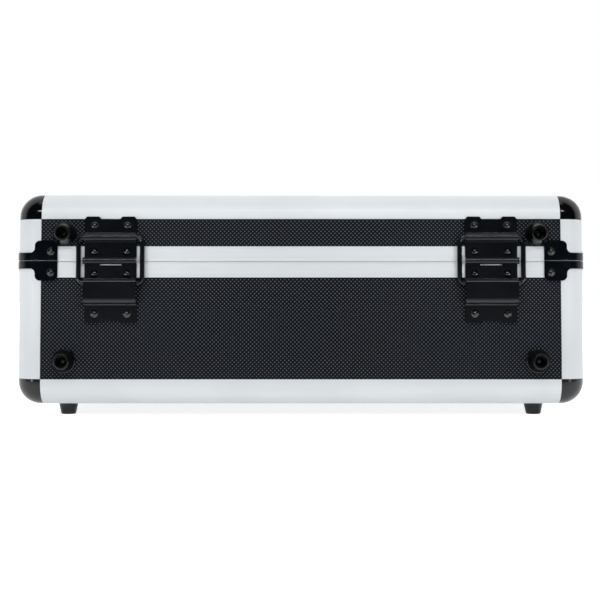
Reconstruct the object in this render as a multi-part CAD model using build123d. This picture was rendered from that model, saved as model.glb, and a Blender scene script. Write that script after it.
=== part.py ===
"""Equipment case with aluminium edge profiles, a hinged lid, two stay hinges and two draw latches.

Millimetres, +Z up, origin on the ground under the middle of the overall box. The latches and the
handle are on the front (-Y) and the hinges are on the rear (+Y).
"""
from build123d import *
import math
import os

# Case, measured over the edge profiles
case_width = 525.0
case_depth = 400.0
base_height = 131.0
lid_height = 63.0
split_gap = 0.4

# Edge profiles and corner caps
profile_radius = 21.0
profile_flat = 2.4
profile_wall = 1.3
slot_depth = 8.0
cap_overhang = 0.3
cap_play = 0.2
spigot_length = 12.0

# Panels
panel_thickness = 6.0
panel_play = 0.5

# Rim rails, with a tongue on the base and a groove in the lid
rail_height = 14.3
rail_width = 12.0
rail_wall = 1.4
rail_slot = 8.0
tongue_inset = 5.0
tongue_width = 3.0
tongue_height = 3.0
tongue_end_gap = 1.5
groove_play = 0.9
rail_line_inset = 1.0
rail_line_width = 0.8
rail_line_depth = 0.3
rim_band = 4.0

# Steel sheet and rivets, the share of a throat that a bend fills, and a hair for comparing places
sheet = 1.2
rivet_head_radius = 3.7
rivet_head_height = 1.9
rivet_shank_radius = 2.0
rivet_play = 0.05
full_bend = 0.99
hair = 0.01

# Rim corner brackets, whose arm on a side wall is longer
bracket_reach = 38.8
bracket_strip = 7.0
bracket_height = 18.0
bracket_lobe_start = 17.9
bracket_round = 4.5
bracket_side_extra = 7.0
bracket_above_split = 0.9
bracket_gap = 0.6
bracket_rivet_inset = 32.5
bracket_rivet_off_split = 9.65

# Stay hinges, with heights taken from the pin axis just above the split
hinge_inset = 87.6
hinge_width = 48.0
pin_above_split = 1.0
pin_out = 3.5
pin_radius = 2.0
pin_play = 0.05
pin_head_radius = 3.1
pin_head_length = 1.1
knuckle_radius = 3.2
middle_knuckle = 19.4
knuckle_gap = 0.3
knuckle_notch = 4.4
notch_play = 0.5
leaf_clearance = 0.2
tab_width = 15.5
tab_rise = 2.5
tab_bevel = 2.2
upper_leaf_top = 38.2
lower_leaf_bottom = 54.8
hinge_rivet_spread = 30.0
upper_rivets = (8.5, 32.4)
lower_rivets = (11.9, 48.5)
leaf_bend = 1.8

# Stay ring, its curl in the upper leaf and its channel in the lower leaf
ring_wire_radius = 2.25
ring_width = 63.0
ring_bend = 5.0
ring_out = 2.75
ring_above = 21.6
ring_below = 20.6
ring_play = 0.4
channel_top = 17.95
channel_bottom = 38.2
channel_out = 8.5
channel_upper_bend = 1.8
channel_lower_bend = 3.8
channel_lip_bend = 3.0

# Feet under the base, and feet that carry the case when it stands on its rear
foot_radius = 9.8
foot_tip_radius = 7.0
foot_drop = 11.0
foot_side_inset = 43.5
foot_end_inset = 38.0
rear_foot_radius = 11.2
rear_foot_tip_radius = 7.2
rear_foot_height = 15.0
rear_foot_inset = 44.8
lid_foot_above_split = 26.3
base_foot_above_case = 40.2
foot_flange = 2.2
foot_step = 1.0
foot_tip_round = 0.8
foot_well_radius = 5.2
foot_floor = 4.0
screw_head_radius = 3.9
screw_head_height = 2.2
screw_radius = 1.9
screw_play = 0.05

# Foam lining
foam_thickness = 10.0
lid_foam_thickness = 15.0
foam_gap = 0.3

# Draw latches, with heights taken downwards from the split
latch_inset = 97.5
latch_plate_width = 36.0
latch_plate_top = 3.0
latch_plate_bottom = 66.0
latch_plate_round = 4.0
latch_rivet_spread = 22.0
latch_rivets = (9.0, 61.5)
latch_pin_down = 20.0
latch_pin_out = 6.5
latch_pin_radius = 1.6
latch_pin_play = 0.06
latch_pin_end = 0.3
ear_spacing = 26.0
ear_radius = 3.6
ear_half_foot = 6.7
lever_play = 0.5
lever_back_gap = 0.25
lever_top = 16.0
lever_knee = 36.0
lever_dip_start = 44.0
lever_dip_end = 50.5
lever_tip = 57.0
lever_out = 8.6
lever_dip_out = 4.2
lever_tip_out = 7.4
lever_bend = 2.5
lever_cheek_radius = 3.0
bail_wire_radius = 1.5
bail_pivot_down = 29.5
bail_play = 0.1
bail_gap = 0.5
bail_hook_above = 10.0
bail_bend = 4.0
bail_stub_bend = 2.0
bail_stub = 1.0

# Keepers on the lid, with heights taken upwards from the split
keeper_width = 24.0
keeper_top = 31.0
keeper_rivet = 24.5
keeper_rivet_spread = 13.0
keeper_throat = 5.9
keeper_clearance = 0.5
keeper_lip = 13.5

# Carrying handle
handle_spread = 110.0
handle_pivot_down = 46.0
handle_pivot_out = 9.0
handle_thickness = 16.0
handle_arm_width = 12.0
handle_drop = 37.0
grip_height = 18.0
grip_outer_round = 16.0
grip_inner_round = 9.0
handle_edge_round = 2.0
handle_pin_radius = 2.5
handle_pin_play = 0.08
handle_pin_head_radius = 3.6
handle_pin_head_length = 1.2
handle_ear_gap = 0.5
handle_ear_radius = 5.5
handle_plate_width = 36.0
handle_plate_height = 28.0
handle_plate_round = 4.0
handle_rivet_spread = 25.0
handle_rivet_rise = 16.0

# Worked-out sizes
profile_leg = profile_radius + profile_flat
cap_reach = profile_leg + cap_overhang
slot_floor = profile_leg - slot_depth
panel_back = profile_wall + panel_thickness
lip_depth = panel_back + profile_wall
rail_body = rail_height - rail_slot
foam_depth = lip_depth + foam_gap
ear_outside = ear_spacing / 2 + sheet
bail_arm = ear_outside + latch_pin_end + bail_gap + bail_wire_radius
bail_pivot_out = sheet + keeper_throat / 2
bail_length = bail_pivot_down + bail_hook_above
hinge_place = case_width / 2 - hinge_inset
latch_place = case_width / 2 - latch_inset
rear_foot_place = case_width / 2 - rear_foot_inset
upper_notch = math.sqrt((knuckle_radius + notch_play) ** 2 - (pin_out - sheet) ** 2)
rivet_hole = rivet_shank_radius + rivet_play
screw_hole = screw_radius + screw_play
front_reach = handle_pivot_out + handle_thickness / 2
rear_reach = rear_foot_height - profile_wall

# Levels
z_case = foot_drop
z_split = z_case + base_height
z_lid = z_split + split_gap
z_top = z_split + lid_height
z_pin = z_split + pin_above_split
y_rear = (case_depth + front_reach - rear_reach) / 2
y_front = y_rear - case_depth
y_middle = (y_rear + y_front) / 2

# Outer planes of the walls, with x along the wall, y up from the ground and z outwards
WALLS = {
    "front": Plane(origin=(0, y_front, 0), x_dir=(1, 0, 0), z_dir=(0, -1, 0)),
    "rear": Plane(origin=(0, y_rear, 0), x_dir=(-1, 0, 0), z_dir=(0, 1, 0)),
    "left": Plane(origin=(-case_width / 2, y_middle, 0), x_dir=(0, -1, 0), z_dir=(-1, 0, 0)),
    "right": Plane(origin=(case_width / 2, y_middle, 0), x_dir=(0, 1, 0), z_dir=(1, 0, 0)),
}
SPAN = {"front": case_width, "rear": case_width, "left": case_depth, "right": case_depth}

# Side view of wall hardware, with its first axis outwards and its second axis up
SIDE_VIEW = Plane(origin=(0, 0, 0), x_dir=(0, 0, 1), z_dir=(-1, 0, 0))


def save(name, *shapes):
    """Write one node, whose pieces stay separate solids."""
    solids = [solid for shape in shapes for solid in shape.solids()]
    export_step(solids[0] if len(solids) == 1 else Compound(solids), f"parts/{name}.step")


def rect(x0, y0, x1, y1):
    """Rectangle between two opposite corners."""
    return Pos((x0 + x1) / 2, (y0 + y1) / 2) * Rectangle(abs(x1 - x0), abs(y1 - y0))


def block(low, high):
    """Box between two opposite corners."""
    middle = [(a + b) / 2 for a, b in zip(low, high)]
    return Pos(*middle) * Box(*[abs(b - a) for a, b in zip(low, high)])


def crossbar(radius, x0, x1, height, out):
    """Round bar lying along a wall."""
    return Pos((x0 + x1) / 2, height, out) * Rot(0, 90, 0) * Cylinder(radius, x1 - x0)


def place(shape, wall, along, height):
    """Move hardware from its own origin to a spot on a wall."""
    return WALLS[wall].location * Pos(along, height, 0) * shape


def four_corners(shape):
    """A rear right piece and its mirror images at the other corners."""
    pair = [shape, mirror(shape, about=Plane.YZ)]
    return pair + [mirror(piece, about=Plane.XZ.offset(-y_middle)) for piece in pair]


def across_wall(section, width):
    """Side-view section made as wide as the hardware."""
    return extrude(SIDE_VIEW * section, width / 2, both=True)


def sheet_section(points, bends):
    """Side view of bent sheet whose back follows the points, from the top down."""
    return make_face(offset(FilletPolyline(*points, radius=bends), sheet, side=Side.LEFT))


def bar(section, middle, across, inward, length):
    """Section swept along a straight run, with its x axis across and its y axis inward."""
    normal = Vector(*across).cross(Vector(*inward))
    plane = Plane(origin=middle, x_dir=across, z_dir=normal)
    return extrude(plane * section, length / 2, both=True)


def wall_bar(section, wall, height, upward, length):
    """Section run along a wall, with its x axis into the case and its y axis up or down."""
    plane = WALLS[wall]
    middle = plane.origin + Vector(0, 0, height)
    return bar(section, middle, tuple(-plane.z_dir), (0, 0, upward), length)


def edge_section():
    """Quarter-round profile with its outer faces on the axes and a slot for each of two panels."""
    outline = [
        Line((profile_leg, 0), (profile_radius, 0)),
        CenterArc((profile_radius, profile_radius), profile_radius, 270, -90),
        Polyline(
            (0, profile_radius), (0, profile_leg), (lip_depth, profile_leg),
            (lip_depth, lip_depth), (profile_leg, lip_depth), (profile_leg, 0),
        ),
    ]
    section = make_face(outline)
    slot = rect(slot_floor, profile_wall, profile_leg, panel_back)
    inner_round = Pos(profile_radius, profile_radius) * Circle(profile_radius - profile_wall)
    hollow = inner_round & rect(lip_depth, 0, slot_floor - profile_wall, panel_back)
    for cut in (slot, hollow):
        section -= cut
        section -= mirror(cut, about=Plane(origin=(0, 0, 0), z_dir=(1, -1, 0)))
    return section


def edges(height, upward):
    """Edge profiles along the foot or the head of each wall, between the corner caps."""
    section = edge_section()
    return {wall: wall_bar(section, wall, height, upward, SPAN[wall] - 2 * cap_reach) for wall in WALLS}


def corner_posts(low, high):
    """Edge profile standing at each of the four corners."""
    corner = (case_width / 2, y_rear, (low + high) / 2)
    return four_corners(bar(edge_section(), corner, (0, -1, 0), (-1, 0, 0), high - low))


def corner_cap():
    """Ball corner at its own origin, with two spigots for each profile that meets it."""
    cap = block((0, 0, 0), (cap_reach,) * 3)
    outer = [edge for edge in cap.edges() if min((edge @ 0).length, (edge @ 1).length) < 0.001]
    cap = fillet(outer, profile_radius)
    cap -= block((lip_depth,) * 3, (2 * cap_reach,) * 3)
    deep = (lip_depth + cap_play, slot_floor - profile_wall - cap_play)
    rise = math.sqrt((profile_radius - profile_wall) ** 2 - (profile_radius - deep[0]) ** 2)
    flat = (profile_radius - rise + cap_play, panel_back - cap_play)
    along = (cap_reach - profile_wall, cap_reach + spigot_length)
    for turn in range(3):
        for pair in ((deep, flat), (flat, deep)):
            spans = (along, *pair)
            spans = [spans[(axis - turn) % 3] for axis in range(3)]
            cap += block(*zip(*spans))
    return cap


def corner_caps():
    """Ball corners of the base, and of the lid."""
    corner = Plane(origin=(case_width / 2, y_rear, z_case), x_dir=(-1, 0, 0), z_dir=(0, 0, 1))
    base = four_corners(corner.location * corner_cap())
    lid = [mirror(cap, about=Plane.XY.offset((z_case + z_top) / 2)) for cap in base]
    return base, lid


def flat_panel(level, half_width, half_depth):
    """Bottom or top panel with its corners cut out for the caps."""
    notch = cap_reach + cap_play
    edge = slot_floor + panel_play
    low, high = level
    shape = None
    for x_cut, y_cut in ((edge, notch), (notch, edge)):
        x = half_width - x_cut
        y = half_depth - y_cut
        strip = block((-x, y_middle - y, low), (x, y_middle + y, high))
        shape = strip if shape is None else shape + strip
    return shape


def wall_panel(wall, low, high, cap_level):
    """Upright panel held by the edge profiles, the posts and the rail, cut clear of the caps."""
    half = SPAN[wall] / 2
    side = half - slot_floor - panel_play
    outline = rect(-side, low, side, high)
    clear = cap_reach + cap_play
    for end in (-1, 1):
        outline -= rect(end * (half - clear), cap_level - clear, end * half, cap_level + clear)
    board = extrude(Pos(0, 0, -panel_back) * outline, panel_thickness)
    return place(board, wall, 0, 0)


def rail_line(edge, inward):
    """Fine line drawn along a rail's outer face, beside one of its edges."""
    start = edge + inward * rail_line_inset
    return rect(0, start, rail_line_depth, start + inward * rail_line_width)


def base_rail_section():
    """Base rim rail, its top on the split: a box over a slot for the panel."""
    section = rect(0, -rail_body, rail_width, 0)
    section -= rect(profile_wall, -rail_body + rail_wall, rail_width - profile_wall, -rail_wall)
    section += rect(0, -rail_height, profile_wall, -rail_body)
    section += rect(panel_back, -rail_height, lip_depth, -rail_body)
    return section - rail_line(0, -1) - rail_line(-rail_height, 1)


def base_rail(wall):
    """Base rim rail with its tongue, which stops short of the lid posts."""
    length = SPAN[wall] - 2 * profile_leg
    rail = wall_bar(base_rail_section(), wall, z_split, 1, length)
    tongue = rect(tongue_inset, -rail_wall, tongue_inset + tongue_width, tongue_height)
    return rail + wall_bar(tongue, wall, z_split, 1, length - 2 * tongue_end_gap)


def lid_rail(wall):
    """Lid rim rail with a groove over the tongue."""
    section = rect(0, 0, rail_width, rail_body)
    groove_top = tongue_height - split_gap + groove_play
    section -= rect(tongue_inset - groove_play, 0, tongue_inset + tongue_width + groove_play, groove_top)
    top = rail_height - split_gap
    section += rect(0, rail_body, profile_wall, top)
    section += rect(panel_back, rail_body, lip_depth, top)
    section -= rail_line(top, -1)
    section -= rect(0, 0, rail_line_depth, rim_band)
    return wall_bar(section, wall, z_lid, 1, SPAN[wall] - 2 * profile_leg)


def bracket_arm(extra, rivet_height):
    """Front view of one arm of a rim bracket: a strip that ends in a lobe round its rivet."""
    reach = bracket_reach + extra
    start = bracket_lobe_start + extra
    outline = rect(-2 * sheet, 0, reach, bracket_strip) + rect(start, 0, reach, bracket_height)
    outer = outline.vertices().group_by(Axis.Y)[-1]
    inner = outline.vertices().sort_by_distance((start, bracket_strip))[0]
    outline = fillet([*outer, inner], bracket_round)
    return outline - Pos(bracket_rivet_inset + extra, rivet_height) * Circle(rivet_hole)


def rim_bracket(rivet_height):
    """Bracket round a rim corner, its inner corner at the origin and its strip on the ground plane."""
    side_reach = bracket_reach + bracket_side_extra
    outer = profile_radius + sheet
    centre = (profile_radius, profile_radius)
    plan = make_face([
        Line((bracket_reach, -sheet), (profile_radius, -sheet)),
        CenterArc(centre, outer, 270, -90),
        Polyline((-sheet, profile_radius), (-sheet, side_reach), (0, side_reach), (0, profile_radius)),
        CenterArc(centre, profile_radius, 180, 90),
        Polyline((profile_radius, 0), (bracket_reach, 0), (bracket_reach, -sheet)),
    ])
    wrap = extrude(plan, bracket_height)
    rear_arm = extrude(Plane.XZ * bracket_arm(0, rivet_height), bracket_lobe_start, both=True)
    side_view = Plane.YZ * bracket_arm(bracket_side_extra, rivet_height)
    side_arm = extrude(side_view, bracket_lobe_start, both=True)
    return (wrap & rear_arm) + (wrap & side_arm)


def rim_brackets():
    """Four brackets on the base rim and four on the lid rim."""
    corner = Plane(origin=(case_width / 2, y_rear, 0), x_dir=(-1, 0, 0), z_dir=(0, 0, 1))
    rise = bracket_above_split
    lift = rise + bracket_gap
    upper = Pos(0, 0, z_split + lift) * corner.location * rim_bracket(bracket_rivet_off_split - lift)
    lower = mirror(corner.location * rim_bracket(bracket_rivet_off_split + rise), about=Plane.XY)
    return four_corners(Pos(0, 0, z_split + rise) * lower), four_corners(upper)


def tabs(edge, upward):
    """Two bevelled tabs on the end of a hinge leaf."""
    half = hinge_width / 2
    shape = []
    for side in (-1, 1):
        points = [
            (side * half, edge), (side * (half - tab_bevel), edge + upward * tab_rise),
            (side * (half - tab_width + tab_bevel), edge + upward * tab_rise),
            (side * (half - tab_width), edge),
        ]
        shape.append(make_face(Polyline(*points, close=True)))
    return shape


def rivet_pattern(spread, heights):
    """Pairs of rivets at each of the heights."""
    return [(side * spread / 2, height) for height in heights for side in (-1, 1)]


def pierced(outline, spots, radius):
    """Flat outline with a hole at each spot."""
    for x, y in spots:
        outline -= Pos(x, y) * Circle(radius)
    return outline


def knuckle():
    """Side view of the rolled eye round the hinge pin."""
    ring = Circle(knuckle_radius) - Circle(pin_radius + pin_play)
    return Pos(pin_out, 0) * ring


def upper_leaf():
    """Lid leaf of a stay hinge, about the pin height: middle knuckle, curl for the ring, two tabs."""
    throat = ring_wire_radius + ring_play
    crown = ring_out + throat
    path = [
        (0, upper_leaf_top + tab_rise), (0, ring_above + throat), (crown, ring_above + throat),
        (crown, ring_above - throat), (0, ring_above - throat),
        (0, split_gap - pin_above_split + leaf_clearance),
    ]
    curl = full_bend * throat
    section = sheet_section(path, [leaf_bend, curl, curl, leaf_bend])
    section -= Pos(pin_out, 0) * Circle(pin_radius + pin_play)
    half = hinge_width / 2
    outline = rect(-half, upper_notch, half, upper_leaf_top)
    outline += rect(-middle_knuckle / 2, -knuckle_notch, middle_knuckle / 2, upper_notch)
    for tab in tabs(upper_leaf_top, 1):
        outline += tab
    outline = pierced(outline, rivet_pattern(hinge_rivet_spread, upper_rivets), rivet_hole)
    leaf = across_wall(section, hinge_width) & extrude(outline, crown + sheet + 1)
    return leaf + across_wall(knuckle(), middle_knuckle)


def lower_leaf():
    """Base leaf of a stay hinge, about the pin height: outer knuckles, channel for the ring, two tabs."""
    path = [
        (0, -pin_above_split - leaf_clearance), (0, -channel_top), (channel_out, -channel_top),
        (channel_out, -channel_bottom), (0, -channel_bottom), (0, -lower_leaf_bottom - tab_rise),
    ]
    bends = [leaf_bend, channel_upper_bend, channel_lower_bend, channel_lip_bend]
    section = sheet_section(path, bends)
    section += knuckle()
    half = hinge_width / 2
    inner = middle_knuckle / 2 + knuckle_gap
    outline = rect(-half, -lower_leaf_bottom, half, -knuckle_notch)
    for side in (-1, 1):
        outline += rect(side * inner, -knuckle_notch, side * half, knuckle_notch)
    for tab in tabs(-lower_leaf_bottom, -1):
        outline += tab
    spots = rivet_pattern(hinge_rivet_spread, [-height for height in lower_rivets])
    outline = pierced(outline, spots, rivet_hole)
    return across_wall(section, hinge_width) & extrude(outline, channel_out + sheet + 1)


def hinge_pin():
    """Hinge pin with its head past the leaf's right end."""
    half = hinge_width / 2
    pin = crossbar(pin_radius, -half, half, 0, pin_out)
    return pin + crossbar(pin_head_radius, half, half + pin_head_length, 0, pin_out)


def stay_ring():
    """Closed wire ring that runs from the lid's curl to the channel in the base leaf."""
    x = ring_width / 2 - ring_wire_radius
    corners = [(-x, ring_above), (x, ring_above), (x, -ring_below), (-x, -ring_below)]
    path = FilletPolyline(*corners, close=True, radius=ring_bend)
    wire = sweep(Plane(origin=path @ 0, z_dir=path % 0) * Circle(ring_wire_radius), path=path)
    return Pos(0, 0, ring_out) * wire


def hinge_spots():
    """Place along the rear wall of each hinge, with the side of the case that it is on."""
    return [(side, -side * hinge_place) for side in (-1, 1)]


def foot(base_radius, tip_radius, height):
    """Tapered foot with a flange and a screw well in its tip, standing on its own origin."""
    neck = base_radius - foot_step
    points = [
        (screw_hole, 0), (base_radius, 0), (base_radius, foot_flange), (neck, foot_flange + foot_step),
        (tip_radius, height - foot_tip_round), (tip_radius - foot_tip_round, height),
        (foot_well_radius, height), (foot_well_radius, foot_floor), (screw_hole, foot_floor),
    ]
    return revolve(Plane.XZ * make_face(Polyline(*points, close=True)), axis=Axis.Z)


def foot_screw():
    """Pan-head screw that holds a foot to its panel."""
    head = Pos(0, 0, foot_floor + screw_head_height / 2) * Cylinder(screw_head_radius, screw_head_height)
    length = foot_floor + panel_thickness
    return head + Pos(0, 0, foot_floor - length / 2) * Cylinder(screw_radius, length)


def under_base(shape):
    """Four copies hung from the bottom panel, with their origins on its underside."""
    level = z_case + profile_wall
    x = case_width / 2 - foot_side_inset
    y = case_depth / 2 - foot_end_inset
    hung = Rot(180, 0, 0) * shape
    return [Pos(i * x, y_middle + j * y, level) * hung for i in (-1, 1) for j in (-1, 1)]


def on_rear(shape, height):
    """A pair of copies on the rear panel, with their origins on its face."""
    seated = Pos(0, 0, -profile_wall) * shape
    return [place(seated, "rear", side * rear_foot_place, height) for side in (-1, 1)]


def latch_plate():
    """Latch plate riveted to the base, with two ears for the lever pin, about the split height."""
    half = latch_plate_width / 2
    outline = rect(-half, -latch_plate_bottom, half, -latch_plate_top)
    outline = fillet(outline.vertices(), latch_plate_round)
    spots = rivet_pattern(latch_rivet_spread, [-height for height in latch_rivets])
    plate = extrude(pierced(outline, spots, rivet_hole), sheet)
    foot_half = ear_half_foot
    ear = make_face(Polyline(
        (0, foot_half - latch_pin_down), (latch_pin_out, ear_radius - latch_pin_down),
        (latch_pin_out, -ear_radius - latch_pin_down), (0, -foot_half - latch_pin_down), close=True,
    ))
    ear += Pos(latch_pin_out, -latch_pin_down) * Circle(ear_radius)
    ear -= Pos(latch_pin_out, -latch_pin_down) * Circle(latch_pin_radius + latch_pin_play)
    for side in (-1, 1):
        plate += Pos(side * (ear_spacing + sheet) / 2, 0, 0) * across_wall(ear, sheet)
    return plate


def latch_pin():
    """Pin that the lever turns on."""
    half = ear_outside + latch_pin_end
    return crossbar(latch_pin_radius, -half, half, -latch_pin_down, latch_pin_out)


def lever():
    """Pressed lever with two cheeks: they turn on the latch pin and carry the bail."""
    width = ear_spacing - 2 * lever_play
    path = [
        (lever_out, -lever_top), (lever_out, -lever_knee), (lever_dip_out, -lever_dip_start),
        (lever_dip_out, -lever_dip_end), (lever_tip_out, -lever_tip),
    ]
    shape = across_wall(sheet_section(path, lever_bend), width)
    front = lever_out + sheet / 2
    cheek = make_face(Polyline(
        (front, -lever_top), (latch_pin_out, lever_cheek_radius - latch_pin_down),
        (latch_pin_out - lever_cheek_radius, -latch_pin_down),
        (sheet + lever_back_gap, -bail_pivot_down),
        (bail_pivot_out, -bail_pivot_down - lever_cheek_radius), (front, -lever_knee), close=True,
    ))
    cheek += Pos(latch_pin_out, -latch_pin_down) * Circle(lever_cheek_radius)
    cheek -= Pos(latch_pin_out, -latch_pin_down) * Circle(latch_pin_radius + latch_pin_play)
    cheek -= Pos(bail_pivot_out, -bail_pivot_down) * Circle(bail_wire_radius + bail_play)
    for side in (-1, 1):
        shape += Pos(side * (width - sheet) / 2, 0, 0) * across_wall(cheek, sheet)
    return shape


def bail():
    """Wire bail hanging from the lever, its stubs through the lever's cheeks."""
    stub_end = ear_spacing / 2 - lever_play - sheet - bail_stub
    top = -bail_pivot_down
    bottom = top - bail_length
    points = [
        (-stub_end, top), (-bail_arm, top), (-bail_arm, bottom),
        (bail_arm, bottom), (bail_arm, top), (stub_end, top),
    ]
    path = FilletPolyline(*points, radius=[bail_stub_bend, bail_bend, bail_bend, bail_stub_bend])
    wire = sweep(Plane(origin=path @ 0, z_dir=path % 0) * Circle(bail_wire_radius), path=path)
    return Pos(0, 0, bail_pivot_out) * wire


def keeper():
    """Keeper on the lid, about the split height: a plate whose foot curls up into a hook."""
    hook = keeper_throat + 2 * sheet
    foot_level = bail_hook_above - bail_wire_radius - keeper_clearance - sheet
    path = [(0, keeper_top), (0, foot_level), (hook, foot_level), (hook, keeper_lip)]
    section = sheet_section(path, full_bend * hook / 2)
    half = keeper_width / 2
    outline = rect(-half, 0, half, keeper_top)
    outline = fillet([v for v in outline.vertices() if v.Y > 1], latch_plate_round)
    outline = pierced(outline, rivet_pattern(keeper_rivet_spread, [keeper_rivet]), rivet_hole)
    return across_wall(section, keeper_width) & extrude(outline, hook + 1)


def handle():
    """Moulded handle about its pivot: two arms and a grip, hanging down."""
    half_thick = handle_thickness / 2
    half_width = (handle_spread + handle_arm_width) / 2
    bottom = -handle_drop - grip_height / 2
    outline = rect(-half_width, bottom, half_width, half_thick)
    outline = fillet([v for v in outline.vertices() if v.Y < 0], grip_outer_round)
    inner = half_width - handle_arm_width
    window = rect(-inner, bottom + grip_height, inner, 2 * half_thick - bottom)
    window = fillet([v for v in window.vertices() if v.Y < 0], grip_inner_round)
    outline -= window
    section = rect(-half_thick, bottom + half_thick, half_thick, 0)
    section += Circle(half_thick)
    section += Pos(0, bottom + half_thick) * Circle(half_thick)
    section -= Circle(handle_pin_radius + handle_pin_play)
    body = across_wall(Pos(handle_pivot_out, 0) * section, 2 * half_width)
    body &= extrude(outline, handle_pivot_out + half_thick + 1)
    top = bottom + grip_height - hair
    rim = body.edges().filter_by(Axis.Z, reverse=True)
    rim = [edge for edge in rim if abs(edge.center().X) < inner + hair and edge.center().Y > top]
    return fillet(rim, handle_edge_round)


def handle_bracket():
    """Plate on the panel with two ears round a handle arm, about the pivot height."""
    outline = RectangleRounded(handle_plate_width, handle_plate_height, handle_plate_round)
    spots = rivet_pattern(handle_rivet_spread, (-handle_rivet_rise / 2, handle_rivet_rise / 2))
    plate = extrude(pierced(outline, spots, rivet_hole), sheet)
    pivot = handle_pivot_out + profile_wall
    ear = make_face(Polyline(
        (0, handle_plate_height / 2 - handle_plate_round), (pivot, handle_ear_radius),
        (pivot, -handle_ear_radius), (0, handle_plate_round - handle_plate_height / 2), close=True,
    ))
    ear += Pos(pivot, 0) * Circle(handle_ear_radius)
    ear -= Pos(pivot, 0) * Circle(handle_pin_radius + handle_pin_play)
    x = handle_arm_width / 2 + handle_ear_gap + sheet / 2
    for side in (-1, 1):
        plate += Pos(side * x, 0, 0) * across_wall(ear, sheet)
    return Pos(0, 0, -profile_wall) * plate


def handle_pin():
    """Headed pin through a bracket's ears and a handle arm."""
    half = handle_arm_width / 2 + handle_ear_gap + sheet
    pin = crossbar(handle_pin_radius, -half, half, 0, handle_pivot_out)
    for side in (-1, 1):
        ends = sorted((side * half, side * (half + handle_pin_head_length)))
        pin += crossbar(handle_pin_head_radius, *ends, 0, handle_pivot_out)
    return pin


def rivet():
    """Domed rivet whose head rests on a surface at its origin and whose shank goes to depth."""
    head = make_face([
        TangentArc((0, rivet_head_height), (rivet_head_radius, 0), tangent=(1, 0)),
        Polyline((rivet_head_radius, 0), (0, 0), (0, rivet_head_height)),
    ])
    shank = Pos(0, 0, -(panel_back + sheet) / 2) * Cylinder(rivet_shank_radius, panel_back + sheet)
    return revolve(Plane.XZ * head, axis=Axis.Z) + shank


def bracket_rivet_spots(height):
    """Wall, place along it, height and seat of the rivets in one ring of rim brackets."""
    spots = []
    for wall, span in SPAN.items():
        extra = bracket_side_extra if wall in ("left", "right") else 0
        x = span / 2 - bracket_rivet_inset - extra
        spots += [(wall, side * x, height, sheet) for side in (-1, 1)]
    return spots


def base_rivet_spots():
    """Wall, place along it, height and seat of each rivet in the base."""
    spots = bracket_rivet_spots(z_split - bracket_rivet_off_split)
    for side in (-1, 1):
        for x, down in rivet_pattern(hinge_rivet_spread, lower_rivets):
            spots.append(("rear", side * hinge_place + x, z_pin - down, sheet))
        for x, down in rivet_pattern(latch_rivet_spread, latch_rivets):
            spots.append(("front", side * latch_place + x, z_split - down, sheet))
        for x, up in rivet_pattern(handle_rivet_spread, (-handle_rivet_rise / 2, handle_rivet_rise / 2)):
            pivot = z_split - handle_pivot_down
            spots.append(("front", side * handle_spread / 2 + x, pivot + up, sheet - profile_wall))
    return spots


def lid_rivet_spots():
    """Wall, place along it, height and seat of each rivet in the lid."""
    spots = bracket_rivet_spots(z_split + bracket_rivet_off_split)
    for side in (-1, 1):
        for x, up in rivet_pattern(hinge_rivet_spread, upper_rivets):
            spots.append(("rear", side * hinge_place + x, z_pin + up, sheet))
        for x, up in rivet_pattern(keeper_rivet_spread, [keeper_rivet]):
            spots.append(("front", side * latch_place + x, z_split + up, sheet))
    return spots


def drilled(shape, wall, spots, radius=rivet_hole):
    """Panel or rail of a wall with a hole for each fastener in it."""
    box = shape.bounding_box()
    for spot_wall, along, height, _ in spots:
        if spot_wall == wall and box.min.Z - radius < height < box.max.Z + radius:
            hole = Pos(0, 0, -panel_back / 2) * Cylinder(radius, panel_back + 2 * profile_wall)
            shape -= place(Pos(0, 0, profile_wall) * hole, wall, along, height)
    return shape


def rivets(spots):
    """All rivets at the spots."""
    return [place(Pos(0, 0, seat) * rivet(), wall, along, height) for wall, along, height, seat in spots]


def rear_screw_spots(height):
    """Where the screws of a pair of rear feet go."""
    return [("rear", side * rear_foot_place, height, 0) for side in (-1, 1)]


def foam_block(x, y, low, high):
    """Foam pad centred on the case, with half sizes x and y."""
    return block((-x, y_middle - y, low), (x, y_middle + y, high))


def floor_foam():
    """Pad on the lips of the lower edge profiles."""
    low = z_case + foam_depth
    return foam_block(case_width / 2 - foam_depth, case_depth / 2 - foam_depth, low, low + foam_thickness)


def wall_foam():
    """Four pads that stand on the floor pad, inside the base walls."""
    low = z_case + foam_depth + foam_thickness + foam_gap
    high = z_split - rail_body - foam_gap
    x = case_width / 2 - foam_depth
    y = case_depth / 2 - foam_depth
    pads = []
    for side in (-1, 1):
        end_y = side * (y - foam_thickness / 2)
        pads.append(Pos(0, end_y, 0) * foam_block(x, foam_thickness / 2, low, high))
        end_x = side * (x - foam_thickness / 2)
        inner_y = y - foam_thickness - foam_gap
        pads.append(Pos(end_x, 0, 0) * foam_block(foam_thickness / 2, inner_y, low, high))
    return pads


def lid_foam():
    """Pad under the lips of the lid's edge profiles."""
    high = z_top - foam_depth
    half_x = case_width / 2 - foam_depth
    half_y = case_depth / 2 - foam_depth
    return foam_block(half_x, half_y, high - lid_foam_thickness, high)


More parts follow.
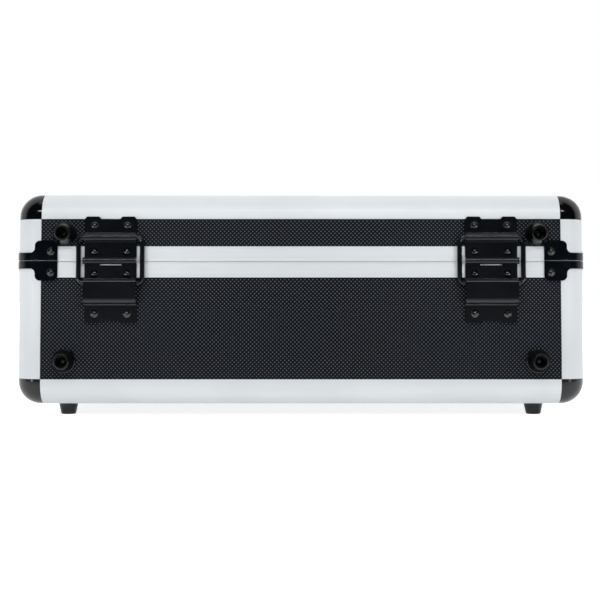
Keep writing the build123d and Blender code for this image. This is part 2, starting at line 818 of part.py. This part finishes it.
def build_base():
    """Write the nodes fixed to the base."""
    spots = base_rivet_spots()
    foot_height = z_case + base_foot_above_case
    screws = rear_screw_spots(foot_height)
    caps, _ = corner_caps()
    brackets, _ = rim_brackets()
    runs = edges(z_case, 1)
    bottom = flat_panel((z_case + profile_wall, z_case + panel_back), case_width / 2, case_depth / 2)
    for hole in under_base(Cylinder(screw_hole, 4 * panel_thickness)):
        bottom -= hole
    save("base_bottom_panel", bottom)
    low = z_case + slot_floor + panel_play
    high = z_split - rail_body - panel_play
    for wall in WALLS:
        panel = drilled(wall_panel(wall, low, high, z_case), wall, spots)
        save(f"base_{wall}_panel", drilled(panel, wall, screws, screw_hole))
    rails = {wall: drilled(base_rail(wall), wall, spots) for wall in WALLS}
    for wall in ("front", "rear"):
        save(f"base_{wall}_edge", runs[wall])
        save(f"base_{wall}_rail", rails[wall])
    save("base_side_edges", runs["left"], runs["right"])
    save("base_side_rails", rails["left"], rails["right"])
    save("base_corner_posts", *corner_posts(z_case + cap_reach, z_split))
    save("base_corner_caps", *caps)
    save("base_rim_brackets", *brackets)
    save("base_rivets", *rivets(spots))
    save("base_feet", *under_base(foot(foot_radius, foot_tip_radius, foot_drop + profile_wall)))
    rear_foot = foot(rear_foot_radius, rear_foot_tip_radius, rear_foot_height)
    save("base_rear_feet", *on_rear(rear_foot, foot_height))
    save("base_foot_screws", *under_base(foot_screw()), *on_rear(foot_screw(), foot_height))
    save("base_floor_foam", floor_foam())
    save("base_wall_foam", *wall_foam())


def build_lid():
    """Write the nodes fixed to the lid."""
    spots = lid_rivet_spots()
    foot_height = z_split + lid_foot_above_split
    screws = rear_screw_spots(foot_height)
    _, caps = corner_caps()
    _, brackets = rim_brackets()
    runs = edges(z_top, -1)
    top = flat_panel((z_top - panel_back, z_top - profile_wall), case_width / 2, case_depth / 2)
    save("lid_top_panel", top)
    low = z_lid + rail_body + panel_play
    high = z_top - slot_floor - panel_play
    for wall in WALLS:
        panel = drilled(wall_panel(wall, low, high, z_top), wall, spots)
        save(f"lid_{wall}_panel", drilled(panel, wall, screws, screw_hole))
    rails = {wall: drilled(lid_rail(wall), wall, spots) for wall in WALLS}
    for wall in ("front", "rear"):
        save(f"lid_{wall}_edge", runs[wall])
        save(f"lid_{wall}_rail", rails[wall])
    save("lid_side_edges", runs["left"], runs["right"])
    save("lid_side_rails", rails["left"], rails["right"])
    save("lid_corner_posts", *corner_posts(z_lid, z_top - cap_reach))
    save("lid_corner_caps", *caps)
    save("lid_rim_brackets", *brackets)
    save("lid_rivets", *rivets(spots))
    rear_foot = foot(rear_foot_radius, rear_foot_tip_radius, rear_foot_height)
    save("lid_rear_feet", *on_rear(rear_foot, foot_height))
    save("lid_foot_screws", *on_rear(foot_screw(), foot_height))
    save("lid_foam", lid_foam())


def build_hinges():
    """Write the leaves, pins and rings of both stay hinges."""
    pins = []
    for side, along in hinge_spots():
        name = "left" if side < 0 else "right"
        save(f"lid_hinge_leaf_{name}", place(upper_leaf(), "rear", along, z_pin))
        save(f"base_hinge_leaf_{name}", place(lower_leaf(), "rear", along, z_pin))
        save(f"stay_ring_{name}", place(stay_ring(), "rear", along, z_pin))
        pin = hinge_pin() if along > 0 else mirror(hinge_pin(), about=Plane.YZ)
        pins.append(place(pin, "rear", along, z_pin))
    save("hinge_pins", *pins)


def build_latches():
    """Write the plates, levers, bails and keepers of both draw latches."""
    pins = []
    keepers = []
    for side, name in ((-1, "left"), (1, "right")):
        along = side * latch_place
        save(f"latch_plate_{name}", place(latch_plate(), "front", along, z_split))
        save(f"latch_lever_{name}", place(lever(), "front", along, z_split))
        save(f"latch_bail_{name}", place(bail(), "front", along, z_split))
        pins.append(place(latch_pin(), "front", along, z_split))
        keepers.append(place(keeper(), "front", along, z_split))
    save("latch_pins", *pins)
    save("latch_keepers", *keepers)


def build_handle():
    """Write the carrying handle, its brackets and its pins."""
    height = z_split - handle_pivot_down
    ends = [side * handle_spread / 2 for side in (-1, 1)]
    save("handle", place(handle(), "front", 0, height))
    save("handle_brackets", *[place(handle_bracket(), "front", x, height) for x in ends])
    save("handle_pins", *[place(handle_pin(), "front", x, height) for x in ends])


os.makedirs("parts", exist_ok=True)
build_base()
build_lid()
build_hinges()
build_latches()
build_handle()
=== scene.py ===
import bpy
import bmesh
import math
from mathutils import Matrix
from mathutils import Vector


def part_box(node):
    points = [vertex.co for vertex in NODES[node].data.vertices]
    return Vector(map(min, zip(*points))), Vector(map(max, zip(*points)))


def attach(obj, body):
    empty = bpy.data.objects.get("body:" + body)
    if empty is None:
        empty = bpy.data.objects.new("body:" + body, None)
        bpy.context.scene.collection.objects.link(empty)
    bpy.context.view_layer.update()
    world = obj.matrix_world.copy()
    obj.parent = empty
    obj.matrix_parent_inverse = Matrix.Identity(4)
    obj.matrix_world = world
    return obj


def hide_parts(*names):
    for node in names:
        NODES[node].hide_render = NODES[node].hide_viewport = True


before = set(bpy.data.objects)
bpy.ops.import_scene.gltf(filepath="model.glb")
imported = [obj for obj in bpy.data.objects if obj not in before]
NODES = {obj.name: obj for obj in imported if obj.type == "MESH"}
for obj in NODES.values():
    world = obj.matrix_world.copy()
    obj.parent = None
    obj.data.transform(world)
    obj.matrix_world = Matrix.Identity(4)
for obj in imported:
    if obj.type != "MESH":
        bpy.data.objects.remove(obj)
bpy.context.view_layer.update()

# Camera behind the case, square on to its rear wall, in metres and degrees
CAMERA_DISTANCE = 1.2
CAMERA_ABOVE_CASE = 0.0979
CAMERA_PITCH = 2.9
CAMERA_REACH = 100

# Lens and sensor of the camera, in millimetres
LENS = 78.3
SENSOR = 36.0

# Width of the picture, and how far the case stands right and up in it, in pixels
IMAGE_SIZE = 600
IMAGE_RIGHT = 0.9
IMAGE_UP = 2.05

# Satin aluminium: scales of lines and clouds per metre, stretch of the lines, and share of each in the shade
ALUMINIUM_LINES = 700
ALUMINIUM_CLOUDS = 14
LINE_STRETCH = 0.006
SHADE_SHARE = 0.7
ALUMINIUM_RANGE = (0.35, 0.95)
ALUMINIUM_COLOURS = ((0.73, 0.755, 0.765, 1), (0.80, 0.825, 0.835, 1))
ALUMINIUM_ROUGHNESS = (0.59, 0.5)
ALUMINIUM_METAL = 0.25

# Embossed laminate: distance between dots along a row in metres, and unevenness of the grain
GRAIN_PITCH = 0.0037
LAMINATE_UNEVEN = 900
UNEVEN_SHARE = 0.15
# Painted highlight: heights of the relief between which the laminate turns from its own black to a lighter
# blue grey on the tips of its pyramids, then its roughness and gloss
LAMINATE_PAINTED_HIGHLIGHT_RANGE = (0.55, 0.98)
LAMINATE_BLACK_AND_PAINTED_HIGHLIGHT = ((0.0003, 0.0005, 0.001, 1), (0.1, 0.114, 0.145, 1))
LAMINATE_ROUGHNESS = (0.34, 0.46)
LAMINATE_GLOSS = 0.12

# Noise values between which a black finish's colour and roughness drift
CLOUD_RANGE = (0.3, 0.7)

# Powder coat on steel, glossier on hinges and latches than on the rim brackets
STEEL_CLOUDS = 40
STEEL_PEEL = 1500
STEEL_COLOURS = ((0.0004, 0.0013, 0.003, 1), (0.0008, 0.002, 0.004, 1))
STEEL_ROUGHNESS = (0.16, 0.21)
STEEL_GLOSS = 0.5
BRACKET_GLOSS = 0.2

# Moulded plastic, and for each kind the scale of its grain, its roughness and its gloss
MOULD_CLOUDS = 30
MOULD_COLOURS = ((0.0008, 0.0009, 0.0013, 1), (0.002, 0.0021, 0.0027, 1))
CAP_MOULDING = (2500, (0.06, 0.15), 0.45)
FOOT_MOULDING = (3500, (0.2, 0.29), 0.3)
GRIP_MOULDING = (1800, (0.38, 0.47), 0.3)

# Lacquer on rivets and screws
LACQUER_CLOUDS = 300
LACQUER_COLOURS = ((0.0006, 0.0007, 0.001, 1), (0.0014, 0.0015, 0.0021, 1))
LACQUER_ROUGHNESS = (0.1, 0.15)
LACQUER_GLOSS = 0.75

# Open-cell foam: scales of cells and clouds, and the share of each in the shade; the cells' share is painted
# shade, darker in their pits, and the clouds' share is tone that differs at random
FOAM_CELLS = 900
FOAM_CLOUDS = 25
CELL_SHARE = 0.6
FOAM_CLOUD_SHARE = 0.5
FOAM_RANGE = (0.2, 0.9)
FOAM_TONE_AND_PAINTED_SHADE = ((0.012, 0.012, 0.013, 1), (0.035, 0.035, 0.038, 1))
FOAM_ROUGHNESS = 0.95
FOAM_GLOSS = 0.15

# Relief of the finishes: depth in metres and strength
LINE_RELIEF = (0.00002, 0.5)
GRAIN_RELIEF = (0.00035, 0.8)
PEEL_RELIEF = (0.000012, 0.5)
MOULD_RELIEF = (0.00002, 0.4)
LACQUER_RELIEF = (0.00001, 0.4)
CELL_RELIEF = (0.0006, 0.7)

# Softened edges that the shaders show: samples, and radius on each finish in metres
EDGE_SAMPLES = 4
STEEL_EDGE = 0.0003
PROFILE_EDGE = 0.0002
MOULD_EDGE = 0.0004

# Foam pads: softened edge as a share of the thickness, and gap between neighbours in metres
PAD_EDGE_SHARE = 0.22
PAD_EDGE_STEPS = 3
PAD_GAP = 0.0003

# Screws in the feet, in millimetres: radius and height of the pan head's points, from the top down
MM_PER_METRE = 1000
SCREW_HEAD = ((0.0, 2.2), (1.5, 2.12), (2.5, 1.88), (3.2, 1.45), (3.65, 0.9), (3.85, 0.35), (3.85, 0.0))
SCREW_SHANK = 1.9

# Cross recess: length, width and depth of an arm in millimetres, its taper and its turn in degrees
SCREW_RECESS = (4.4, 1.0, 1.5)
RECESS_TAPER = 0.7
RECESS_TURN = 20

# Mesh of a screw: steps round it, join distance in metres, and sharpest smoothed edge in degrees
SCREW_STEPS = 40
JOIN_DISTANCE = 1e-6
SMOOTH_ANGLE = 35

# Feet, and the panel that their screws go through, in metres
WELL_FLOOR = 0.004
PANEL = 0.006
REAR_FOOT_HEIGHT = 0.015
BASE_FOOT_RADIUS = 0.0098

# White table: half its width in metres, its finish, and where it darkens behind the case along Y in metres
TABLE_HALF_WIDTH = 30
TABLE_BRIGHTNESS = 0.87
TABLE_ROUGHNESS = 0.9
TABLE_GLOSS = 0.1
TABLE_COLOURS = (0.85, 0.3)
TABLE_END = (0.35, 0.7)
TABLE_GLEAM_END = (0.24, 0.38)

# Brightness of the dim room behind the camera, where the backdrop is 1, and the directions' Y between them
ROOM_BEHIND_CAMERA = 0.02
BACKDROP_END = (0.0, 0.2)

# Even light from all round
EVEN_LIGHT_COLOUR = (0.93, 0.96, 1.0, 1)
EVEN_LIGHT = 0.68

# Lamps: name, place, point aimed at, width and height in metres, watts, and spread of the beam in degrees
MIDDLE = (0, 0, 0.1)
LAMPS = (
    ("key_light", (0, 2.05, 1.32), MIDDLE, (2.0, 0.12), 17, 180),
    ("low_left_light", (0.44, 0.54, 0.02), (0.14, 0.21, 0.14), (0.2, 0.12), 0.038, 32),
    ("low_right_light", (-0.44, 0.54, 0.02), (-0.14, 0.21, 0.14), (0.2, 0.12), 0.036, 32),
    ("top_light", (0, 0.55, 1.7), (0, 0.2, 0.2), (1.4, 0.4), 1.9, 180),
    ("front_light", (-0.5, -1.8, 1.2), MIDDLE, (1.6, 1.2), 9, 180),
)


def new_material(name):
    """New node material, its node tree and its Principled shader."""
    material = bpy.data.materials.new(name)
    material.use_nodes = True
    tree = material.node_tree
    return material, tree, tree.nodes["Principled BSDF"]


def add(tree, kind, **settings):
    """New shader node; a key that names a socket sets the socket."""
    node = tree.nodes.new(kind)
    for key, value in settings.items():
        socket = node.inputs.get(key)
        if socket is not None:
            socket.default_value = value
        else:
            setattr(node, key, value)
    return node


def math_node(tree, operation, *values):
    """Math node whose inputs are sockets or numbers."""
    node = add(tree, "ShaderNodeMath", operation=operation)
    for socket, value in zip(node.inputs, values):
        if isinstance(value, (int, float)):
            socket.default_value = value
        else:
            tree.links.new(value, socket)
    return node.outputs[0]


def coordinates(tree, kind):
    """X, Y and Z of one kind of texture coordinates."""
    split = add(tree, "ShaderNodeSeparateXYZ")
    tree.links.new(add(tree, "ShaderNodeTexCoord").outputs[kind], split.inputs[0])
    return split.outputs


def stretched(tree, scale=(1, 1, 1)):
    """Object coordinates in metres, multiplied along each axis."""
    mapping = add(tree, "ShaderNodeMapping", Scale=scale)
    tree.links.new(add(tree, "ShaderNodeTexCoord").outputs["Object"], mapping.inputs["Vector"])
    return mapping.outputs[0]


def noise(tree, scale, detail=2.0, stretch=(1, 1, 1)):
    """Noise texture over the object, with its scale per metre."""
    texture = add(tree, "ShaderNodeTexNoise", Scale=scale, Detail=detail)
    tree.links.new(stretched(tree, stretch), texture.inputs["Vector"])
    return texture.outputs[0]


def ramp(tree, factor, places, colours):
    """Colour ramp between two stops; greys may be given as numbers."""
    node = add(tree, "ShaderNodeValToRGB")
    for element, place, colour in zip(node.color_ramp.elements, places, colours):
        element.position = place
        element.color = colour if isinstance(colour, tuple) else (colour, colour, colour, 1)
    tree.links.new(factor, node.inputs[0])
    return node.outputs[0]


def bump(tree, shader, height, relief, edge=None):
    """Surface relief of a depth and a strength, over softened edges where a radius is given."""
    depth, strength = relief
    node = add(tree, "ShaderNodeBump", Distance=depth, Strength=strength)
    tree.links.new(height, node.inputs["Height"])
    if edge:
        soft = add(tree, "ShaderNodeBevel", samples=EDGE_SAMPLES, Radius=edge)
        tree.links.new(soft.outputs[0], node.inputs["Normal"])
    tree.links.new(node.outputs[0], shader.inputs["Normal"])


def aluminium(name, along):
    """Satin anodised extrusion with faint drawing lines along its length."""
    material, tree, shader = new_material(name)
    stretch = tuple(LINE_STRETCH if axis == along else 1.0 for axis in "xyz")
    lines = noise(tree, ALUMINIUM_LINES, detail=5.0, stretch=stretch)
    cloud = math_node(tree, "MULTIPLY", noise(tree, ALUMINIUM_CLOUDS), SHADE_SHARE)
    shade = math_node(tree, "MULTIPLY_ADD", lines, SHADE_SHARE, cloud)
    tree.links.new(ramp(tree, shade, ALUMINIUM_RANGE, ALUMINIUM_COLOURS), shader.inputs["Base Color"])
    tree.links.new(ramp(tree, shade, ALUMINIUM_RANGE, ALUMINIUM_ROUGHNESS), shader.inputs["Roughness"])
    shader.inputs["Metallic"].default_value = ALUMINIUM_METAL
    bump(tree, shader, lines, LINE_RELIEF, PROFILE_EDGE)
    return material


def grain_wave(tree, along):
    """Wave of the laminate's grain along one coordinate."""
    return math_node(tree, "COSINE", math_node(tree, "MULTIPLY", along, 2 * math.pi / GRAIN_PITCH))


def laminate(name, across, up):
    """Black laminate embossed with small pyramids on a grid at 45 degrees, with a painted highlight on their
    tips.
    """
    material, tree, shader = new_material(name)
    where = coordinates(tree, "Object")
    crossed = math_node(tree, "MULTIPLY", grain_wave(tree, where[across]), grain_wave(tree, where[up]))
    relief = math_node(tree, "MULTIPLY_ADD", crossed, 0.5, 0.5)
    uneven = noise(tree, LAMINATE_UNEVEN)
    height = math_node(tree, "MULTIPLY_ADD", uneven, UNEVEN_SHARE, relief)
    # Painted highlight: the tips of the pyramids are coloured lighter than the black laminate
    tree.links.new(ramp(tree, relief, LAMINATE_PAINTED_HIGHLIGHT_RANGE, LAMINATE_BLACK_AND_PAINTED_HIGHLIGHT), shader.inputs["Base Color"])
    tree.links.new(ramp(tree, uneven, CLOUD_RANGE, LAMINATE_ROUGHNESS), shader.inputs["Roughness"])
    shader.inputs["Specular IOR Level"].default_value = LAMINATE_GLOSS
    bump(tree, shader, height, GRAIN_RELIEF)
    return material


def clouded(name, scale, colours, roughness, gloss, detail=2.0):
    """Material whose colour and roughness drift over the surface, with its tree, shader and clouds."""
    material, tree, shader = new_material(name)
    cloud = noise(tree, scale, detail)
    tree.links.new(ramp(tree, cloud, CLOUD_RANGE, colours), shader.inputs["Base Color"])
    tree.links.new(ramp(tree, cloud, CLOUD_RANGE, roughness), shader.inputs["Roughness"])
    shader.inputs["Specular IOR Level"].default_value = gloss
    return material, tree, shader, cloud


def coated_steel(name, gloss):
    """Black satin powder coat over bent sheet and wire."""
    finish = (STEEL_CLOUDS, STEEL_COLOURS, STEEL_ROUGHNESS, gloss)
    material, tree, shader, _ = clouded(name, *finish, detail=3.0)
    bump(tree, shader, noise(tree, STEEL_PEEL), PEEL_RELIEF, STEEL_EDGE)
    return material


def moulded(name, grain, roughness, gloss):
    """Black moulded plastic with a fine grain."""
    material, tree, shader, _ = clouded(name, MOULD_CLOUDS, MOULD_COLOURS, roughness, gloss)
    bump(tree, shader, noise(tree, grain, detail=3.0), MOULD_RELIEF, MOULD_EDGE)
    return material


def lacquered(name):
    """Glossy black on rivets and screws."""
    finish = (LACQUER_CLOUDS, LACQUER_COLOURS, LACQUER_ROUGHNESS, LACQUER_GLOSS)
    material, tree, shader, cloud = clouded(name, *finish)
    bump(tree, shader, cloud, LACQUER_RELIEF)
    return material


def foam_material(name):
    """Charcoal open-cell foam, with painted shade in the pits of its cells."""
    material, tree, shader = new_material(name)
    cells = add(tree, "ShaderNodeTexVoronoi", Scale=FOAM_CELLS)
    tree.links.new(stretched(tree), cells.inputs["Vector"])
    distance = cells.outputs["Distance"]
    cloud = math_node(tree, "MULTIPLY", noise(tree, FOAM_CLOUDS, detail=3.0), FOAM_CLOUD_SHARE)
    # Painted shade: the pits of the cells, low in the relief, are coloured darker; the clouds add tone at
    # random
    shade = math_node(tree, "MULTIPLY_ADD", distance, CELL_SHARE, cloud)
    tree.links.new(ramp(tree, shade, FOAM_RANGE, FOAM_TONE_AND_PAINTED_SHADE), shader.inputs["Base Color"])
    shader.inputs["Roughness"].default_value = FOAM_ROUGHNESS
    shader.inputs["Specular IOR Level"].default_value = FOAM_GLOSS
    bump(tree, shader, distance, CELL_RELIEF)
    return material


def dress(material, *names):
    """Give CAD nodes a material."""
    for name in names:
        for slot in NODES[name].material_slots:
            slot.material = material


def dress_nodes():
    """Materials of the CAD nodes, by what each one is made of and how it runs."""
    along_x = aluminium("aluminium_along_x", "x")
    along_y = aluminium("aluminium_along_y", "y")
    along_z = aluminium("aluminium_along_z", "z")
    steel = coated_steel("black_coated_steel", STEEL_GLOSS)
    bracket_steel = coated_steel("black_dull_coated_steel", BRACKET_GLOSS)
    caps = moulded("black_glossy_moulding", *CAP_MOULDING)
    feet = moulded("black_foot_moulding", *FOOT_MOULDING)
    grip = moulded("black_handle_moulding", *GRIP_MOULDING)
    planes = {"front": "XZ", "rear": "XZ", "left": "YZ", "right": "YZ", "flat": "XY"}
    faces = {face: laminate(f"laminate_{face}", *plane) for face, plane in planes.items()}
    for half in ("base", "lid"):
        dress(along_x, f"{half}_front_edge", f"{half}_rear_edge", f"{half}_front_rail", f"{half}_rear_rail")
        dress(along_y, f"{half}_side_edges", f"{half}_side_rails")
        dress(along_z, f"{half}_corner_posts")
        dress(caps, f"{half}_corner_caps")
        dress(LACQUER, f"{half}_rivets", f"{half}_foot_screws")
        dress(feet, f"{half}_rear_feet")
        dress(bracket_steel, f"{half}_rim_brackets")
        dress(steel, f"{half}_hinge_leaf_left", f"{half}_hinge_leaf_right")
        for wall in ("front", "rear", "left", "right"):
            dress(faces[wall], f"{half}_{wall}_panel")
    dress(faces["flat"], "base_bottom_panel", "lid_top_panel")
    dress(feet, "base_feet")
    dress(grip, "handle")
    dress(steel, "stay_ring_left", "stay_ring_right", "hinge_pins", "latch_pins", "handle_pins")
    dress(steel, "latch_plate_left", "latch_plate_right", "latch_lever_left", "latch_lever_right")
    dress(steel, "latch_bail_left", "latch_bail_right", "latch_keepers", "handle_brackets")


def object_of(name, mesh):
    """Object in the scene that holds the mesh."""
    data = bpy.data.meshes.new(name)
    mesh.to_mesh(data)
    mesh.free()
    thing = bpy.data.objects.new(name, data)
    bpy.context.scene.collection.objects.link(thing)
    return thing


def smooth(piece):
    """Smooth shading on every face."""
    faces = piece.data.polygons
    faces.foreach_set("use_smooth", [True] * len(faces))


def foam_pad(name, low, high, body, node):
    """Foam pad with softened edges, inside its CAD solid."""
    low = Vector(low)
    high = Vector(high)
    size = high - low
    mesh = bmesh.new()
    bmesh.ops.create_cube(mesh, size=1.0)
    bmesh.ops.scale(mesh, vec=size, verts=mesh.verts)
    edge = min(size) * PAD_EDGE_SHARE
    steps = PAD_EDGE_STEPS
    bmesh.ops.bevel(mesh, geom=mesh.edges[:], offset=edge, segments=steps, affect="EDGES", profile=0.5)
    bmesh.ops.translate(mesh, vec=(low + high) / 2, verts=mesh.verts)
    pad = object_of(name, mesh)
    smooth(pad)
    pad.data.materials.append(FOAM)
    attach(pad, body)
    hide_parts(node)


def foam_lining():
    """Pads of the lining in place of the plain foam solids."""
    floor_low, floor_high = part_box("base_floor_foam")
    foam_pad("floor_pad", floor_low, floor_high, "base", "base_floor_foam")
    low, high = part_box("lid_foam")
    foam_pad("lid_pad", low, high, "lid", "lid_foam")
    low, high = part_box("base_wall_foam")
    thick = floor_high.z - floor_low.z
    between = (low.y + thick + PAD_GAP, high.y - thick - PAD_GAP)
    walls = {
        "front": ((low.x, high.x), (low.y, low.y + thick)),
        "rear": ((low.x, high.x), (high.y - thick, high.y)),
        "left": ((low.x, low.x + thick), between),
        "right": ((high.x - thick, high.x), between),
    }
    for wall, (x, y) in walls.items():
        foam_pad(f"{wall}_pad", (x[0], y[0], low.z), (x[1], y[1], high.z), "base", "base_wall_foam")


def turned(profile, steps):
    """Mesh of a profile in millimetres turned round the Z axis."""
    mesh = bmesh.new()
    verts = [mesh.verts.new((radius / MM_PER_METRE, 0, height / MM_PER_METRE)) for radius, height in profile]
    edges = [mesh.edges.new(pair) for pair in zip(verts, verts[1:])]
    bmesh.ops.spin(mesh, geom=verts + edges, cent=(0, 0, 0), axis=(0, 0, 1), angle=2 * math.pi, steps=steps)
    bmesh.ops.remove_doubles(mesh, verts=mesh.verts, dist=JOIN_DISTANCE)
    bmesh.ops.recalc_face_normals(mesh, faces=mesh.faces)
    return mesh


def recess_arm(name, length, width, depth, top):
    """Tapered bar that cuts one arm of a screw's cross recess."""
    mesh = bmesh.new()
    bmesh.ops.create_cube(mesh, size=1.0)
    bmesh.ops.scale(mesh, vec=(length, width, 2 * depth), verts=mesh.verts)
    low = [vert for vert in mesh.verts if vert.co.z < 0]
    bmesh.ops.scale(mesh, vec=(RECESS_TAPER, RECESS_TAPER, 1), verts=low)
    bmesh.ops.translate(mesh, vec=(0, 0, top), verts=mesh.verts)
    return object_of(name, mesh)


def cross_head_screw():
    """Mesh of one screw that points up, with its head standing on the origin."""
    end = -(WELL_FLOOR + PANEL) * MM_PER_METRE
    shank = ((SCREW_SHANK, 0.0), (SCREW_SHANK, end), (0.0, end))
    screw = object_of("screw", turned(SCREW_HEAD + shank, SCREW_STEPS))
    length, width, depth = (size / MM_PER_METRE for size in SCREW_RECESS)
    top = SCREW_HEAD[0][1] / MM_PER_METRE
    arms = [recess_arm("arm_x", length, width, depth, top), recess_arm("arm_y", width, length, depth, top)]
    for arm in arms:
        cut = screw.modifiers.new(arm.name, "BOOLEAN")
        cut.object = arm
        cut.solver = "EXACT"
    bpy.context.view_layer.update()
    graph = bpy.context.evaluated_depsgraph_get()
    mesh = bpy.data.meshes.new_from_object(screw.evaluated_get(graph))
    for thing in (screw, *arms):
        bpy.data.objects.remove(thing)
    return mesh


def foot_screws(half, screw, placed):
    """The screws of one half's feet, in place of their plain CAD solids."""
    mesh = bmesh.new()
    for matrix in placed:
        mesh.from_mesh(screw)
        fresh = mesh.verts[-len(screw.vertices):]
        bmesh.ops.transform(mesh, matrix=matrix, verts=fresh)
    piece = object_of(f"{half}_cross_head_screws", mesh)
    smooth(piece)
    piece.data.set_sharp_from_angle(angle=math.radians(SMOOTH_ANGLE))
    piece.data.materials.append(LACQUER)
    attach(piece, half)
    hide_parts(f"{half}_foot_screws")


def screws():
    """Cross-head screws down the wells of the feet, on the rear and under the base."""
    screw = cross_head_screw()
    turn = Matrix.Rotation(math.radians(RECESS_TURN), 4, "Z")
    outward = Matrix.Rotation(math.radians(-90), 4, "X")
    downward = Matrix.Rotation(math.radians(180), 4, "X")
    places = {}
    for half in ("base", "lid"):
        low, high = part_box(f"{half}_rear_feet")
        radius = (high.z - low.z) / 2
        head = high.y - REAR_FOOT_HEIGHT + WELL_FLOOR
        spots = [Vector((x, head, low.z + radius)) for x in (low.x + radius, high.x - radius)]
        places[half] = [Matrix.Translation(spot) @ outward @ turn for spot in spots]
    low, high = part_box("base_feet")
    for x in (low.x + BASE_FOOT_RADIUS, high.x - BASE_FOOT_RADIUS):
        for y in (low.y + BASE_FOOT_RADIUS, high.y - BASE_FOOT_RADIUS):
            places["base"].append(Matrix.Translation((x, y, high.z - WELL_FLOOR)) @ downward @ turn)
    for half, placed in places.items():
        foot_screws(half, screw, placed)
    bpy.data.meshes.remove(screw)


def background_rays(tree):
    """One for the rays that show the background: seen, mirrored or through glass."""
    path = add(tree, "ShaderNodeLightPath").outputs
    mirrored = math_node(tree, "MAXIMUM", path["Is Glossy Ray"], path["Is Transmission Ray"])
    return math_node(tree, "MAXIMUM", path["Is Camera Ray"], mirrored)


def to_the_camera(tree, mirrored):
    """One where the camera looks straight at it, and the given brightness in reflections."""
    camera_ray = add(tree, "ShaderNodeLightPath").outputs["Is Camera Ray"]
    return math_node(tree, "MAXIMUM", camera_ray, mirrored)


def white_table(name):
    """Table that looks white to the camera and in reflections, takes shadows and ends in a dim room."""
    material, tree, shader = new_material(name)
    shader.inputs["Roughness"].default_value = TABLE_ROUGHNESS
    shader.inputs["Specular IOR Level"].default_value = TABLE_GLOSS
    shader.inputs["Emission Color"].default_value = (1, 1, 1, 1)
    behind = coordinates(tree, "Object")["Y"]
    tree.links.new(ramp(tree, behind, TABLE_END, TABLE_COLOURS), shader.inputs["Base Color"])
    gleam = to_the_camera(tree, ramp(tree, behind, TABLE_GLEAM_END, (1.0, ROOM_BEHIND_CAMERA)))
    seen = math_node(tree, "MULTIPLY", background_rays(tree), gleam)
    tree.links.new(math_node(tree, "MULTIPLY", seen, TABLE_BRIGHTNESS), shader.inputs["Emission Strength"])
    return material


def stage():
    """Pale floor under the case."""
    mesh = bmesh.new()
    bmesh.ops.create_grid(mesh, x_segments=1, y_segments=1, size=TABLE_HALF_WIDTH)
    floor = object_of("floor", mesh)
    floor.data.materials.append(white_table("white_floor"))


def softbox(name, place, target, size, power, spread):
    """Soft rectangular lamp aimed at a point, with its beam's spread in degrees."""
    lamp = bpy.data.lights.new(name, "AREA")
    lamp.shape = "RECTANGLE"
    lamp.size, lamp.size_y = size
    lamp.energy = power
    lamp.spread = math.radians(spread)
    thing = bpy.data.objects.new(name, lamp)
    bpy.context.scene.collection.objects.link(thing)
    thing.location = place
    thing.rotation_euler = (Vector(target) - Vector(place)).to_track_quat("-Z", "Y").to_euler()


def backdrop():
    """Even light on the case, white to the camera, and in reflections a backdrop that ends in a dim room."""
    world = bpy.data.worlds.new("studio")
    bpy.context.scene.world = world
    world.use_nodes = True
    tree = world.node_tree
    shown = tree.nodes["Background"]
    shown.inputs["Color"].default_value = (1, 1, 1, 1)
    mirrored = ramp(tree, coordinates(tree, "Generated")["Y"], BACKDROP_END, (1.0, ROOM_BEHIND_CAMERA))
    tree.links.new(to_the_camera(tree, mirrored), shown.inputs["Strength"])
    even = add(tree, "ShaderNodeBackground", Color=EVEN_LIGHT_COLOUR, Strength=EVEN_LIGHT)
    mix = add(tree, "ShaderNodeMixShader")
    tree.links.new(background_rays(tree), mix.inputs[0])
    tree.links.new(even.outputs[0], mix.inputs[1])
    tree.links.new(shown.outputs[0], mix.inputs[2])
    tree.links.new(mix.outputs[0], tree.nodes["World Output"].inputs[0])


def camera():
    """Camera behind the case, aimed at its rear wall as in the photograph."""
    _, posts_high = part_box("base_corner_posts")
    caps_low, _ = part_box("base_corner_caps")
    view = bpy.data.cameras.new("camera")
    view.lens = LENS
    view.sensor_width = SENSOR
    view.clip_end = CAMERA_REACH
    drop = math.tan(math.radians(CAMERA_PITCH)) * LENS / SENSOR
    view.shift_x = -IMAGE_RIGHT / IMAGE_SIZE
    view.shift_y = -drop - IMAGE_UP / IMAGE_SIZE
    thing = bpy.data.objects.new("camera", view)
    bpy.context.scene.collection.objects.link(thing)
    thing.location = (0, posts_high.y + CAMERA_DISTANCE, caps_low.z + CAMERA_ABOVE_CASE)
    thing.rotation_euler = (math.radians(90 + CAMERA_PITCH), 0, math.radians(180))
    bpy.context.scene.camera = thing


FOAM = foam_material("charcoal_foam")
LACQUER = lacquered("black_lacquer")
camera()
stage()
for lamp_settings in LAMPS:
    softbox(*lamp_settings)
backdrop()
dress_nodes()
foam_lining()
screws()
bpy.context.scene.view_settings.view_transform = "Standard"
bpy.context.view_layer.update()
